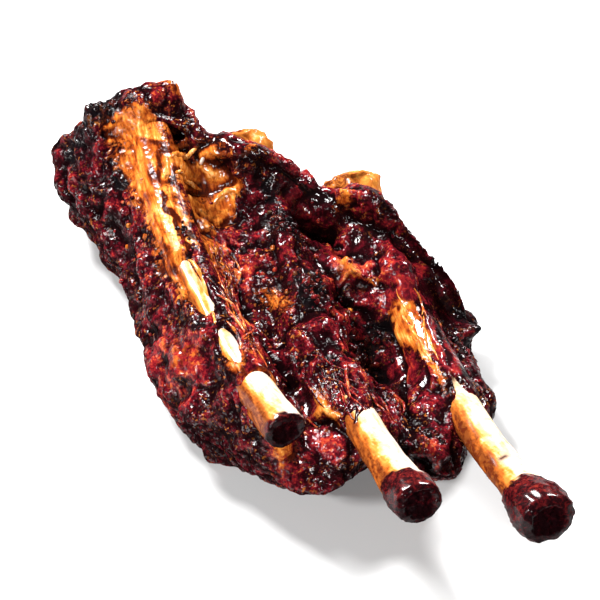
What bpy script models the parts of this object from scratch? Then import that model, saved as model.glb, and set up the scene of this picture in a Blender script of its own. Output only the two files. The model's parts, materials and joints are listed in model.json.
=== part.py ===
# A cut rack of three barbecued ribs, lying on its meaty side with the hollow of the rib cage up.
# Metres, +Z up. X runs across the ribs, -Y points along them to their bare tips, and the table is
# the plane z = 0. The origin is under the middle of the rack.

import math

import bmesh
import bpy
from mathutils import Matrix, Vector, noise

# The slab follows a rib cage: bent along the ribs and leaning down towards the third rib.
ARC_RADIUS = 0.230
ARC_CENTRE_Y = -0.008
AXIS_HEIGHT = 0.0225
LEAN = math.radians(9.0)

# Outline of the meat. The far and near edges are y values at even steps from the first rib's side
# to the third rib's side, the left and right edges are x values at even steps from far to near.
FAR_EDGE = (0.065, 0.070, 0.071, 0.061, 0.053, 0.048, 0.041, 0.030, 0.009)
NEAR_EDGE = (-0.034, -0.049, -0.059, -0.064, -0.060, -0.055, -0.061, -0.060, -0.046)
LEFT_EDGE = (-0.060, -0.058, -0.052, -0.049, -0.049, -0.049, -0.044)
RIGHT_EDGE = (0.037, 0.044, 0.044, 0.042, 0.040, 0.038, 0.034)
STEPS_ACROSS = 34
STEPS_ALONG = 34
FINER_FAR = 1.22

# Thickness below the rib axes, and how the rim rounds off.
THICKNESS = 0.0265
THICKER_LEFT = 0.16
THINNER_NEAR = 0.0090
NEAR_REACH = 0.030
LEFT_ROUND = 0.012
NEAR_ROUND = 0.013
EDGE_ROUND = 0.007
SIDE_SHARE = 0.36
SIDE_BULGE = 0.0022

# Relief of the upper side.
VALLEY_DEPTH = 0.0020
RIDGE_HALF_WIDTH = 0.0100
ROLL_HEIGHT = 0.0105
ROLL_HALF_WIDTH = 0.0075
ROLL_INSET = 0.0085
ROLL_OVERHANG = 0.0024
LUMP_HEIGHT = 0.0011
LUMP_SIZE = 0.011

# Hollows and lumps on the upper side: x, y, half width across, half width along, height.
DENTS = (
    (-0.022, 0.040, 0.0080, 0.0160, -0.0080),
    (0.006, 0.030, 0.0075, 0.0070, -0.0045),
    (0.012, -0.020, 0.0080, 0.0120, -0.0060),
    (-0.004, 0.004, 0.0080, 0.0080, 0.0030),
    (0.036, 0.006, 0.0080, 0.0110, 0.0040),
    (-0.054, 0.064, 0.0080, 0.0080, 0.0060),
    (-0.026, 0.069, 0.0055, 0.0060, 0.0120),
    (-0.026, -0.060, 0.0125, 0.0125, -0.0145),
    (0.030, -0.054, 0.0070, 0.0110, -0.0090),
)

# Windows in the meat over the first rib: share of its length, half width and half length.
WINDOWS = (
    (0.52, 0.0025, 0.0105),
    (0.70, 0.0022, 0.0075),
)
WINDOW_DEPTH = 0.0110
WINDOW_SHIFT = -0.0016

# Small slanting gap under the rolled rim, between the first two ribs.
GAP_CENTRE = (-0.0260, 0.0600, 0.0270)
GAP_SIZE = (0.0044, 0.0024)
GAP_LENGTH = 0.060
GAP_SLOPE = math.radians(44.0)
GAP_TURN = math.radians(-24.0)
GAP_TWIST = math.radians(-48.0)

# Each rib: x and y of its far and near end, sideways bow, lift of its tip and rise of its head,
# how deep its axis lies, and the height of the meat over it. Then its half width and half height
# at the head, along the shaft and at the tip.
RIBS = {
    "rib_1": {
        "far": (-0.0380, 0.0590),
        "near": (-0.0265, -0.0560),
        "bow": -0.0035,
        "lift": 0.0020,
        "rise": 0.0,
        "sink": 0.0,
        "ridge": 0.0096,
        "head": (0.0062, 0.0052),
        "shaft": (0.0053, 0.0045),
        "tip": (0.0062, 0.0056),
    },
    "rib_2": {
        "far": (-0.0080, 0.0575),
        "near": (0.0005, -0.0870),
        "bow": -0.0010,
        "lift": 0.0030,
        "rise": 0.0060,
        "sink": 0.0025,
        "ridge": 0.0074,
        "head": (0.0066, 0.0056),
        "shaft": (0.0052, 0.0044),
        "tip": (0.0073, 0.0066),
    },
    "rib_3": {
        "far": (0.0215, 0.0425),
        "near": (0.0345, -0.0945),
        "bow": -0.0005,
        "lift": 0.0010,
        "rise": 0.0060,
        "sink": 0.0010,
        "ridge": 0.0086,
        "head": (0.0070, 0.0058),
        "shaft": (0.0053, 0.0045),
        "tip": (0.0086, 0.0078),
    },
}
RIB_STEPS = 22
RIB_SIDES = 14
HEAD_SHARE = 0.12
TIP_SHARE = 0.10
CLEARANCE = 0.0004

# Rings that close a bone, each a share of its size and a push outwards: a domed head, and a cut
# tip with a worn rim and sunken marrow.
HEAD_RINGS = ((0.86, 0.0012), (0.52, 0.0024))
TIP_RINGS = ((0.92, 0.0006), (0.66, 0.0006), (0.54, -0.0004))


def clearScene():
    for old in list(bpy.data.objects):
        bpy.data.objects.remove(old, do_unlink=True)


def alongCurve(values, share):
    """Smooth curve through values at even steps, read at a share of its length."""
    place = min(max(share, 0.0), 1.0) * (len(values) - 1)
    i = min(int(place), len(values) - 2)
    f = place - i
    before = values[max(i - 1, 0)]
    after = values[min(i + 2, len(values) - 1)]
    a, b = values[i], values[i + 1]
    slopeA = (b - before) / 2
    slopeB = (after - a) / 2
    return (
        a * (2 * f**3 - 3 * f**2 + 1)
        + slopeA * (f**3 - 2 * f**2 + f)
        + b * (3 * f**2 - 2 * f**3)
        + slopeB * (f**3 - f**2)
    )


def hump(distance, halfWidth):
    """Rounded bump, 1 at its middle and near 0 past twice its half width."""
    return math.exp(-((distance / halfWidth) ** 2))


def plateHeight(x, y):
    """Height of the rib axes: an arc along the ribs, leaning down to the right."""
    return AXIS_HEIGHT - x * math.tan(LEAN) + (y - ARC_CENTRE_Y) ** 2 / (2 * ARC_RADIUS)


def ribPlace(rib, share):
    """Point on a rib's axis: share 0 is its head, 1 its bare tip."""
    x = rib["far"][0] + (rib["near"][0] - rib["far"][0]) * share
    x += rib["bow"] * math.sin(math.pi * share)
    y = rib["far"][1] + (rib["near"][1] - rib["far"][1]) * share
    headRise = rib["rise"] * max(0.0, 1 - share / (2 * HEAD_SHARE)) ** 2
    z = plateHeight(x, y) - rib["sink"] + rib["lift"] * share**2 + headRise
    return Vector((x, y, z))


def ribX(rib, y):
    """Where a rib's axis crosses the given y, held at its ends."""
    share = (y - rib["far"][1]) / (rib["near"][1] - rib["far"][1])
    return ribPlace(rib, min(max(share, 0.0), 1.0)).x


def ribSize(rib, share, extra):
    """Half width and half height of a rib, flared at both ends, or of the channel it lies in."""
    head = max(0.0, 1 - share / HEAD_SHARE) ** 0.7
    tip = max(0.0, 1 - (1 - share) / TIP_SHARE) ** 1.3
    sizes = []
    for k in (0, 1):
        size = rib["shaft"][k]
        size += (rib["head"][k] - rib["shaft"][k]) * head
        size += (rib["tip"][k] - rib["shaft"][k]) * tip
        sizes.append(size + extra)
    return sizes


def addRing(bm, place, size, share, push):
    """Oval ring about a place on a rib: its centre, and its directions across, up and along."""
    centre, across, up, along = place
    ring = []
    for k in range(RIB_SIDES):
        angle = 2 * math.pi * k / RIB_SIDES
        spot = centre + along * push
        spot += across * (size[0] * share * math.cos(angle))
        spot += up * (size[1] * share * math.sin(angle))
        ring.append(bm.verts.new(spot))
    return ring


def joinRings(bm, first, second):
    count = len(first)
    for k in range(count):
        n = (k + 1) % count
        bm.faces.new((first[k], first[n], second[n], second[k]))


def ribFrame(rib, share):
    """Centre of a rib and its directions across, up and along, towards the tip."""
    along = (ribPlace(rib, share + 0.01) - ribPlace(rib, share - 0.01)).normalized()
    across = along.cross(Vector((0, 0, 1))).normalized()
    up = across.cross(along).normalized()
    return ribPlace(rib, share), across, up, along


def closeEnd(bm, ring, place, size, steps, outward, extra):
    for share, push in steps:
        inner = addRing(bm, place, size, share, outward * (push + extra))
        joinRings(bm, ring, inner)
        ring = inner
    bm.faces.new(ring)


def sweepRib(name, rib, extra, tipRings):
    """Oval bone along its arc, or the channel for it, which is larger by extra all round."""
    bm = bmesh.new()
    rings = []
    for i in range(RIB_STEPS + 1):
        share = i / RIB_STEPS
        place = ribFrame(rib, share)
        rings.append(addRing(bm, place, ribSize(rib, share, extra), 1.0, 0.0))
    for first, second in zip(rings, rings[1:]):
        joinRings(bm, first, second)
    closeEnd(bm, rings[0], ribFrame(rib, 0), ribSize(rib, 0, extra), HEAD_RINGS, -1, extra)
    closeEnd(bm, rings[-1], ribFrame(rib, 1), ribSize(rib, 1, extra), tipRings, 1, extra)
    return finishMesh(bm, name)


def finishMesh(bm, name):
    bmesh.ops.recalc_face_normals(bm, faces=bm.faces)
    mesh = bpy.data.meshes.new(name)
    bm.to_mesh(mesh)
    bm.free()
    mesh.shade_smooth()
    mesh.set_sharp_from_angle(angle=math.radians(40))
    made = bpy.data.objects.new(name, mesh)
    bpy.context.scene.collection.objects.link(made)
    return made


def meatRelief(x, y, fromFar, across):
    """Height of the upper side above the plate of rib axes."""
    height = -VALLEY_DEPTH
    for rib in RIBS.values():
        height += rib["ridge"] * hump(x - ribX(rib, y), RIDGE_HALF_WIDTH)
    rollShare = min(max((across - 0.30) / 0.12, 0.0), 1.0)
    height += ROLL_HEIGHT * rollShare * hump(fromFar - ROLL_INSET, ROLL_HALF_WIDTH)
    for dentX, dentY, wide, long, tall in DENTS:
        height += tall * hump(x - dentX, wide) * hump(y - dentY, long)
    height += LUMP_HEIGHT * noise.noise(Vector((x, y, 0.0)) / LUMP_SIZE)
    return height


def meatPoint(across, along):
    """Plan place and heights of the slab at shares across the ribs and along them."""
    left = alongCurve(LEFT_EDGE, along)
    right = alongCurve(RIGHT_EDGE, along)
    far = alongCurve(FAR_EDGE, across)
    near = alongCurve(NEAR_EDGE, across)
    x = left + (right - left) * across
    y = far + (near - far) * along
    fromFar = along * (far - near)
    fromNear = (1 - along) * (far - near)
    fromLeft = across * (right - left)
    fromRight = (1 - across) * (right - left)
    plate = plateHeight(x, y)
    top = plate + meatRelief(x, y, fromFar, across)
    thickness = THICKNESS + THICKER_LEFT * max(0.0, -x)
    thickness -= THINNER_NEAR * max(0.0, 1 - fromNear / NEAR_REACH) ** 2
    bottom = max(plate - thickness, 0.0)
    rounded = 1.0
    for distance, radius in (
        (fromFar, EDGE_ROUND),
        (fromNear, NEAR_ROUND),
        (fromLeft, LEFT_ROUND),
        (fromRight, EDGE_ROUND),
    ):
        short = max(0.0, 1 - distance / radius)
        rounded *= SIDE_SHARE + (1 - SIDE_SHARE) * math.sqrt(1 - short**2)
    rounded = max(rounded, SIDE_SHARE)
    middle = (top + bottom) / 2
    half = (top - bottom) / 2 * rounded
    leaning = ROLL_OVERHANG * hump(fromFar - ROLL_INSET, ROLL_HALF_WIDTH)
    return x, y - leaning, y, middle + half, middle - half


def buildMeat():
    """Slab of meat: an upper and an under grid joined by a bulging side."""
    bm = bmesh.new()
    upper = []
    under = []
    for i in range(STEPS_ACROSS + 1):
        upperRow = []
        underRow = []
        for j in range(STEPS_ALONG + 1):
            along = (j / STEPS_ALONG) ** FINER_FAR
            x, upperY, underY, top, bottom = meatPoint(i / STEPS_ACROSS, along)
            upperRow.append(bm.verts.new((x, upperY, top)))
            underRow.append(bm.verts.new((x, underY, bottom)))
        upper.append(upperRow)
        under.append(underRow)
    for i in range(STEPS_ACROSS):
        for j in range(STEPS_ALONG):
            bm.faces.new((upper[i][j], upper[i + 1][j], upper[i + 1][j + 1], upper[i][j + 1]))
            bm.faces.new((under[i][j], under[i][j + 1], under[i + 1][j + 1], under[i + 1][j]))
    addSide(bm, rimOf(upper), rimOf(under))
    return finishMesh(bm, "meat")


def rimOf(grid):
    """The outer vertices of a grid in order round it."""
    rim = [row[0] for row in grid]
    rim += grid[-1][1:]
    rim += [row[-1] for row in reversed(grid[:-1])]
    rim += list(reversed(grid[0][1:-1]))
    return rim


def addSide(bm, upperRim, underRim):
    """Side wall with one bulging ring between the two rims."""
    centre = sum((v.co for v in upperRim), Vector()) / len(upperRim)
    waist = []
    for k, (high, low) in enumerate(zip(upperRim, underRim)):
        ahead = upperRim[(k + 1) % len(upperRim)].co
        behind = upperRim[k - 1].co
        along = ahead - behind
        outward = Vector((along.y, -along.x, 0)).normalized()
        if outward.dot(high.co - centre) < 0:
            outward = -outward
        waist.append(bm.verts.new((high.co + low.co) / 2 + outward * SIDE_BULGE))
    joinRings(bm, upperRim, waist)
    joinRings(bm, waist, underRim)


def cutWith(target, cutter):
    cutter.hide_render = True
    cutter.display_type = "WIRE"
    cut = target.modifiers.new("Cut " + cutter.name, "BOOLEAN")
    cut.operation = "DIFFERENCE"
    cut.solver = "EXACT"
    cut.object = cutter


def buildGap():
    """Slanting oval cutter of the small gap under the rolled rim."""
    bpy.ops.mesh.primitive_cylinder_add(vertices=14, radius=1.0, depth=GAP_LENGTH)
    gap = bpy.context.active_object
    gap.name = "gap_cutter"
    turn = Matrix.Rotation(GAP_TWIST, 4, "Z") @ Matrix.Diagonal((*GAP_SIZE, 1, 1))
    gap.data.transform(turn)
    gap.location = GAP_CENTRE
    gap.rotation_euler = (math.pi / 2 - GAP_SLOPE, 0, GAP_TURN)
    return gap


def buildWindow(index, rib, share, halfWidth, halfLength):
    """Lens over a rib that opens the meat down to the bone."""
    bpy.ops.mesh.primitive_uv_sphere_add(segments=20, ring_count=12, radius=1.0)
    window = bpy.context.active_object
    window.name = f"window_cutter_{index}"
    ahead = ribPlace(rib, share + 0.01) - ribPlace(rib, share - 0.01)
    window.data.transform(Matrix.Diagonal((halfWidth, halfLength, WINDOW_DEPTH, 1)))
    window.location = ribPlace(rib, share) + Vector((WINDOW_SHIFT, 0, rib["shaft"][1]))
    window.rotation_euler = (-math.asin(-ahead.normalized().z), 0, math.atan2(ahead.x, -ahead.y))
    return window


def surface(name, colour, roughness):
    material = bpy.data.materials.new(name)
    material.use_nodes = True
    shader = material.node_tree.nodes["Principled BSDF"]
    shader.inputs["Base Color"].default_value = (*colour, 1.0)
    shader.inputs["Roughness"].default_value = roughness
    shader.inputs["Metallic"].default_value = 0.0
    return material


def main():
    clearScene()
    meatFinish = surface("glazed_meat", (0.085, 0.012, 0.008), 0.28)
    boneFinish = surface("rib_bone", (0.78, 0.58, 0.32), 0.42)
    meat = buildMeat()
    meat.data.materials.append(meatFinish)
    for name, rib in RIBS.items():
        bone = sweepRib(name, rib, 0.0, TIP_RINGS)
        bone.data.materials.append(boneFinish)
        cutWith(meat, sweepRib(name + "_cutter", rib, CLEARANCE, HEAD_RINGS))
    for index, window in enumerate(WINDOWS):
        cutWith(meat, buildWindow(index + 1, RIBS["rib_1"], *window))
    cutWith(meat, buildGap())


main()
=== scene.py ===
import json
import math

import bpy
import numpy as np
from mathutils import Matrix, Vector
from mathutils.bvhtree import BVHTree

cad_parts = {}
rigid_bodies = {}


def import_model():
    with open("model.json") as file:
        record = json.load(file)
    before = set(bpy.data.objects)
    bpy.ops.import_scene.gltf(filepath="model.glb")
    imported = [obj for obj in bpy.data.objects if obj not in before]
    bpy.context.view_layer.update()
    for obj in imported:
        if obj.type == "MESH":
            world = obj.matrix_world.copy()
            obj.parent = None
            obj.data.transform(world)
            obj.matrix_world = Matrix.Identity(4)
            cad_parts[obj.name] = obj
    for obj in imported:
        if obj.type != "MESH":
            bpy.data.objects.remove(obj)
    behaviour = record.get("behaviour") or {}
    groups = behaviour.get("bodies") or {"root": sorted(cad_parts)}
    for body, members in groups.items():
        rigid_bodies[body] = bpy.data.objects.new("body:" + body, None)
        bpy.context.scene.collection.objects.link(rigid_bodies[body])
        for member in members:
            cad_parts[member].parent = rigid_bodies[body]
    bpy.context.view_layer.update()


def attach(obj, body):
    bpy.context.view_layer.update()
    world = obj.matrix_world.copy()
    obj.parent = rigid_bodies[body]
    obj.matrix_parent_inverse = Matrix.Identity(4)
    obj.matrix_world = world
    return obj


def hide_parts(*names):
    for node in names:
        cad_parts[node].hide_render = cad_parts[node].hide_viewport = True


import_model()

mm = 0.001

# ---- where the rack lies: metres, ribs along Y, bare tips towards -Y, table at z = 0 ----

slab = {
    "arcRadius": 0.230,  # bend along the ribs
    "arcCentreY": -0.008,
    "axisHeight": 0.0225,  # of the rib axes over the table
    "lean": 9.0,  # degrees down to the third rib
    "farEdge": (0.065, 0.070, 0.071, 0.061, 0.053, 0.048, 0.041, 0.030, 0.009),
    "nearEdge": (-0.034, -0.049, -0.059, -0.064, -0.060, -0.055, -0.061, -0.060, -0.046),
    "leftEdge": (-0.060, -0.058, -0.052, -0.049, -0.049, -0.049, -0.044),
    "rightEdge": (0.037, 0.044, 0.044, 0.042, 0.040, 0.038, 0.034),
    "thickness": 0.0265,
    "thickerLeft": 0.16,
    "thinnerNear": 0.0090,
    "nearReach": 0.030,
    "farRound": 0.007,  # rim radii
    "nearRound": 0.013,
    "leftRound": 0.012,
    "rightRound": 0.007,
    "sideShare": 0.36,
    "sideBulge": 0.0022,
    "valleyDepth": 0.0042,
    "ridgeHalfWidth": 0.0088,
    "rollHeight": 0.0082,
    "rollHalfWidth": 0.0075,
    "rollInset": 0.0085,
    "rollOverhang": 0.0048,
    "cuts": 99,  # of the first block, before it is remeshed
    "voxel": 0.00067,
}

# Hollows and lumps on the upper side, in mm: x, y, half width across, half width along, height.
dents = (
    (-25, 34, 7, 16, -2.4),
    (-19, 42, 6, 6, 1.6),
    (6, 30, 7.5, 7, -4.5),
    (13, -20, 7, 12, -9.5),
    (-4, 4, 8, 8, 2.0),
    (36, 6, 8, 11, 4.0),
    (-54, 62, 8, 8, 4.0),
    (-27, 69, 5.0, 6, 18.5),
    (-27, 58, 5.0, 5, 5.0),  # rim between the nub and the second rib's knob
    (-17, 52, 5.0, 4, 2.0),
    (-26, -60, 12.5, 12.5, -14.5),
    (30, -54, 7, 11, -9.0),
    (-7, 27, 7, 4, -5.0),  # shadowed hollow under the rolled rim
    (5, 26, 7, 3.5, -4.5),
    (17, 16, 5, 4, -1.5),
    (-21, 36, 5, 4, 1.6),  # fat bulging out of the pocket
    (-35.5, 18, 2.5, 9, -1.8),  # trough beside the first rib
    (-6, -3, 6, 5, 2.6),  # burnt lumps in the middle
    (6, -8, 4.5, 4, 3.4),
    (-15.5, 12, 3, 8, 1.2),
    (11, 9, 7, 4, 2.6),
    (23, 0, 6, 5, 1.6),
    (15, -24, 4, 9, -3.5),  # deep recess beside the third rib
    (-16, -12, 3, 12, -2.5),
    (-18, -41, 5, 7, -3.0),  # smooth red hollow beside the first rib's stub
    (-11, -42, 2, 5, 1.6),
    (12, -57, 6, 5, 2.2),  # lobes hanging at the near edge
    (39, -36, 3, 12, 1.6),
    (-47, -18, 5, 9, 1.8),  # shoulder of the cut flank
    (-52, 50, 4, 5, 2.0),
)

ribs = {
    "rib_1": {
        "far": (-0.0380, 0.0590), "near": (-0.0265, -0.0560),
        "bow": -0.0035, "lift": 0.0020, "rise": 0.0, "sink": 0.0, "ridge": 0.0100,
        "head": (0.0062, 0.0052), "shaft": (0.0053, 0.0045), "tip": (0.0062, 0.0056),
    },
    "rib_2": {
        "far": (-0.0080, 0.0575), "near": (0.0005, -0.0870),
        "bow": -0.0010, "lift": 0.0030, "rise": 0.0060, "sink": 0.0025, "ridge": 0.0088,
        "head": (0.0066, 0.0056), "shaft": (0.0052, 0.0044), "tip": (0.0073, 0.0066),
    },
    "rib_3": {
        "far": (0.0215, 0.0425), "near": (0.0345, -0.0945),
        "bow": -0.0005, "lift": 0.0010, "rise": 0.0060, "sink": 0.0010, "ridge": 0.0104,
        "head": (0.0070, 0.0058), "shaft": (0.0053, 0.0045), "tip": (0.0086, 0.0078),
    },
}
headShare = 0.12
tipShare = 0.10


# ---- small tools ----

def selectOnly(piece):
    bpy.ops.object.select_all(action="DESELECT")
    piece.select_set(True)
    bpy.context.view_layer.objects.active = piece


def coordsOf(mesh):
    flat = np.empty(len(mesh.vertices) * 3)
    mesh.vertices.foreach_get("co", flat)
    return flat.reshape(-1, 3)


def setCoords(mesh, coords):
    mesh.vertices.foreach_set("co", np.ascontiguousarray(coords).ravel())
    mesh.update()


def normalsOf(mesh):
    flat = np.empty(len(mesh.vertices) * 3)
    mesh.vertex_normals.foreach_get("vector", flat)
    return flat.reshape(-1, 3)


def edgesOf(mesh):
    flat = np.empty(len(mesh.edges) * 2, dtype=np.int32)
    mesh.edges.foreach_get("vertices", flat)
    return flat.reshape(-1, 2)


def blurred(edges, values, rounds):
    # Spreads values over the mesh, one ring of neighbours a round.
    count = np.bincount(edges.ravel(), minlength=len(values)).clip(1)
    for _ in range(rounds):
        total = np.bincount(edges[:, 0], values[edges[:, 1]], len(values))
        total += np.bincount(edges[:, 1], values[edges[:, 0]], len(values))
        values = 0.4 * values + 0.6 * total / count
    return values


def eased(edges, coords, rounds):
    return np.stack([blurred(edges, coords[:, k], rounds) for k in range(3)], axis=1)


def paint(mesh, name, values):
    layer = mesh.attributes.new(name, "FLOAT", "POINT")
    layer.data.foreach_set("value", np.clip(values, 0, 1).astype(np.float32))


def step(low, high, values):
    # 0 below low, 1 above high, smooth between.
    t = np.clip((values - low) / (high - low), 0, 1)
    return t * t * (3 - 2 * t)


def hump(distance, halfWidth):
    return np.exp(-((distance / halfWidth) ** 2))


# ---- noise, all in metres ----

def cellBits(cell, seed):
    mixed = cell[:, 0] * 73856093 ^ cell[:, 1] * 19349663 ^ cell[:, 2] * 83492791
    mixed = (mixed ^ (seed + 1) * 374761393) & 0xFFFFFFFF
    mixed = ((mixed ^ mixed >> 15) * 739982445) & 0xFFFFFFFF
    mixed = ((mixed ^ mixed >> 12) * 695872825) & 0xFFFFFFFF
    return mixed ^ mixed >> 15


def lumpsAt(points, size, seed):
    # Soft lumps about as wide as size (one number, or one for each axis), near -1 to 1.
    place = points / np.asarray(size) + 7.31 * seed
    cell = np.floor(place).astype(np.int64)
    part = place - cell
    ease = part**3 * (part * (part * 6 - 15) + 10)
    total = np.zeros(len(points))
    for corner in np.ndindex(2, 2, 2):
        bits = cellBits(cell + corner, seed)
        slope = np.stack([(bits >> shift & 1023) / 511.5 - 1 for shift in (0, 10, 20)], axis=1)
        share = np.prod(np.where(corner, ease, 1 - ease), axis=1)
        total += share * ((part - corner) * slope).sum(axis=1)
    return total * 1.5


def roughAt(points, size, layers, seed, fade=0.5):
    total = np.zeros(len(points))
    for k in range(layers):
        total += lumpsAt(points, np.asarray(size) / 2**k, seed + k) * fade**k
    return total


def creasedAt(points, size, layers, seed, fade=0.5):
    # Rounded lumps parted by sharp creases, 0 in a crease and near 1 on a lump.
    total = np.zeros(len(points))
    for k in range(layers):
        total += np.abs(lumpsAt(points, np.asarray(size) / 2**k, seed + k)) * fade**k
    return total * 1.6


def cellsAt(points, size, seed):
    # Distances to the nearest and the second nearest of scattered seeds, in cell sizes.
    place = points / size + 3.17 * seed
    cell = np.floor(place).astype(np.int64)
    first = np.full(len(points), 9.0)
    second = np.full(len(points), 9.0)
    for corner in np.ndindex(3, 3, 3):
        near = cell + corner - 1
        bits = cellBits(near, seed)
        spot = np.stack([(bits >> shift & 1023) / 1023 for shift in (0, 10, 20)], axis=1)
        away = np.sqrt(((near + spot - place) ** 2).sum(axis=1))
        second = np.minimum(second, np.maximum(first, away))
        first = np.minimum(first, away)
    return first, second


# ---- the slab's form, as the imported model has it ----

def alongCurve(values, share):
    # Smooth curve through values at even steps, read at shares of its length.
    values = np.asarray(values)
    last = len(values) - 1
    place = np.clip(share, 0, 1) * last
    i = np.minimum(place.astype(int), last - 1)
    f = place - i
    a, b = values[i], values[i + 1]
    slopeA = (b - values[np.maximum(i - 1, 0)]) / 2
    slopeB = (values[np.minimum(i + 2, last)] - a) / 2
    return (a * (2 * f**3 - 3 * f**2 + 1) + slopeA * (f**3 - 2 * f**2 + f)
            + b * (3 * f**2 - 2 * f**3) + slopeB * (f**3 - f**2))


def plateHeight(x, y):
    lean = math.tan(math.radians(slab["lean"]))
    return slab["axisHeight"] - x * lean + (y - slab["arcCentreY"]) ** 2 / (2 * slab["arcRadius"])


def ribPlace(rib, share):
    share = np.asarray(share, dtype=float)
    x = rib["far"][0] + (rib["near"][0] - rib["far"][0]) * share
    x = x + rib["bow"] * np.sin(math.pi * share)
    y = rib["far"][1] + (rib["near"][1] - rib["far"][1]) * share
    headRise = rib["rise"] * np.maximum(0.0, 1 - share / (2 * headShare)) ** 2
    z = plateHeight(x, y) - rib["sink"] + rib["lift"] * share**2 + headRise
    return np.stack([x, y, z], axis=-1)


def ribShare(rib, y):
    return (y - rib["far"][1]) / (rib["near"][1] - rib["far"][1])


def ribX(rib, y):
    return ribPlace(rib, np.clip(ribShare(rib, y), 0, 1))[..., 0]


def meatRelief(x, y, fromFar, across):
    height = np.full(x.shape, -slab["valleyDepth"])
    for rib in ribs.values():
        height += rib["ridge"] * hump(x - ribX(rib, y), slab["ridgeHalfWidth"])
    rollShare = np.clip((across - 0.30) / 0.12, 0, 1)
    height += slab["rollHeight"] * rollShare * hump(fromFar - slab["rollInset"], slab["rollHalfWidth"])
    for dentX, dentY, wide, long, tall in dents:
        height += tall * mm * hump(x - dentX * mm, wide * mm) * hump(y - dentY * mm, long * mm)
    return height


def meatPoint(across, along, upward):
    # A point of the slab from its shares across, along and upward, each from 0 to 1.
    left = alongCurve(slab["leftEdge"], along)
    right = alongCurve(slab["rightEdge"], along)
    far = alongCurve(slab["farEdge"], across)
    near = alongCurve(slab["nearEdge"], across)
    x = left + (right - left) * across
    y = far + (near - far) * along
    fromFar = along * (far - near)
    fromNear = (1 - along) * (far - near)
    plate = plateHeight(x, y)
    top = plate + meatRelief(x, y, fromFar, across)
    thickness = slab["thickness"] + slab["thickerLeft"] * np.maximum(0, -x)
    thickness = thickness - slab["thinnerNear"] * np.maximum(0, 1 - fromNear / slab["nearReach"]) ** 2
    bottom = np.maximum(plate - thickness, 0)
    rounded = np.ones(x.shape)
    for distance, radius in (
        (fromFar, slab["farRound"]),
        (fromNear, slab["nearRound"]),
        (across * (right - left), slab["leftRound"]),
        ((1 - across) * (right - left), slab["rightRound"]),
    ):
        short = np.maximum(0, 1 - distance / radius)
        rounded = rounded * (slab["sideShare"] + (1 - slab["sideShare"]) * np.sqrt(1 - short**2))
    rounded = np.maximum(rounded, slab["sideShare"])
    middle = (top + bottom) / 2
    half = (top - bottom) / 2 * rounded
    leaning = slab["rollOverhang"] * hump(fromFar - slab["rollInset"], slab["rollHalfWidth"])
    # The wall between the two sides bulges out.
    bulge = slab["sideBulge"] * 4 * upward * (1 - upward)
    x = x + bulge * (np.where(across > 0.999, 1, 0) - np.where(across < 0.001, 1, 0))
    y = y + bulge * (np.where(along < 0.001, 1, 0) - np.where(along > 0.999, 1, 0))
    return np.stack([x, y - leaning * upward, middle + half * (2 * upward - 1)], axis=-1)


# ---- the slab of meat ----

def blockOfMeat(name):
    # A cube, cut into a fine grid and drawn out to the slab's outline and curve.
    bpy.ops.object.select_all(action="DESELECT")
    bpy.ops.mesh.primitive_cube_add(size=1, location=(0.5, 0.5, 0.5))
    block = bpy.context.active_object
    block.name = block.data.name = name
    bpy.ops.object.transform_apply(location=True)
    bpy.ops.object.mode_set(mode="EDIT")
    bpy.ops.mesh.select_all(action="SELECT")
    bpy.ops.mesh.subdivide(number_cuts=slab["cuts"])
    bpy.ops.object.mode_set(mode="OBJECT")
    share = coordsOf(block.data)
    setCoords(block.data, meatPoint(share[:, 0], 1 - share[:, 1], share[:, 2]))
    return block


def remesh(piece, voxel):
    selectOnly(piece)
    piece.data.remesh_voxel_size = voxel
    piece.data.remesh_voxel_adaptivity = 0
    bpy.ops.object.voxel_remesh()


# Narrow slit under the rolled rim: where it opens, which way it runs through, and its cross-section.
slit = {
    "middle": (-0.0325, 0.0548, 0.0370),
    "through": (0.28, 0.64, -0.72),
    "lengthwise": (0.80, -0.48, 0.0),
    "length": 0.0120,
    "width": 0.0036,
    "depth": 0.080,
}


def slitAxes():
    through = Vector(slit["through"]).normalized()
    lengthwise = Vector(slit["lengthwise"])
    lengthwise = (lengthwise - through * lengthwise.dot(through)).normalized()
    return lengthwise, through.cross(lengthwise), through


def cutSlit(block):
    # A rounded bar, driven through the rim.
    selectOnly(block)
    bpy.ops.object.select_all(action="DESELECT")
    bpy.ops.mesh.primitive_cylinder_add(vertices=24, radius=0.5, depth=1)
    bar = bpy.context.active_object
    turn = Matrix(slitAxes()).transposed().to_4x4()
    shape = Matrix.Diagonal((slit["length"], slit["width"], slit["depth"], 1))
    bar.data.transform(Matrix.Translation(slit["middle"]) @ turn @ shape)
    cut = block.modifiers.new("slit", "BOOLEAN")
    cut.operation = "DIFFERENCE"
    cut.solver = "EXACT"
    cut.object = bar
    selectOnly(block)
    bpy.ops.object.modifier_apply(modifier=cut.name)
    bpy.data.objects.remove(bar)


meat = blockOfMeat("glazed_slab")
cutSlit(meat)
remesh(meat, slab["voxel"])
print("Slab blocked out:", len(meat.data.vertices), "vertices")


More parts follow.
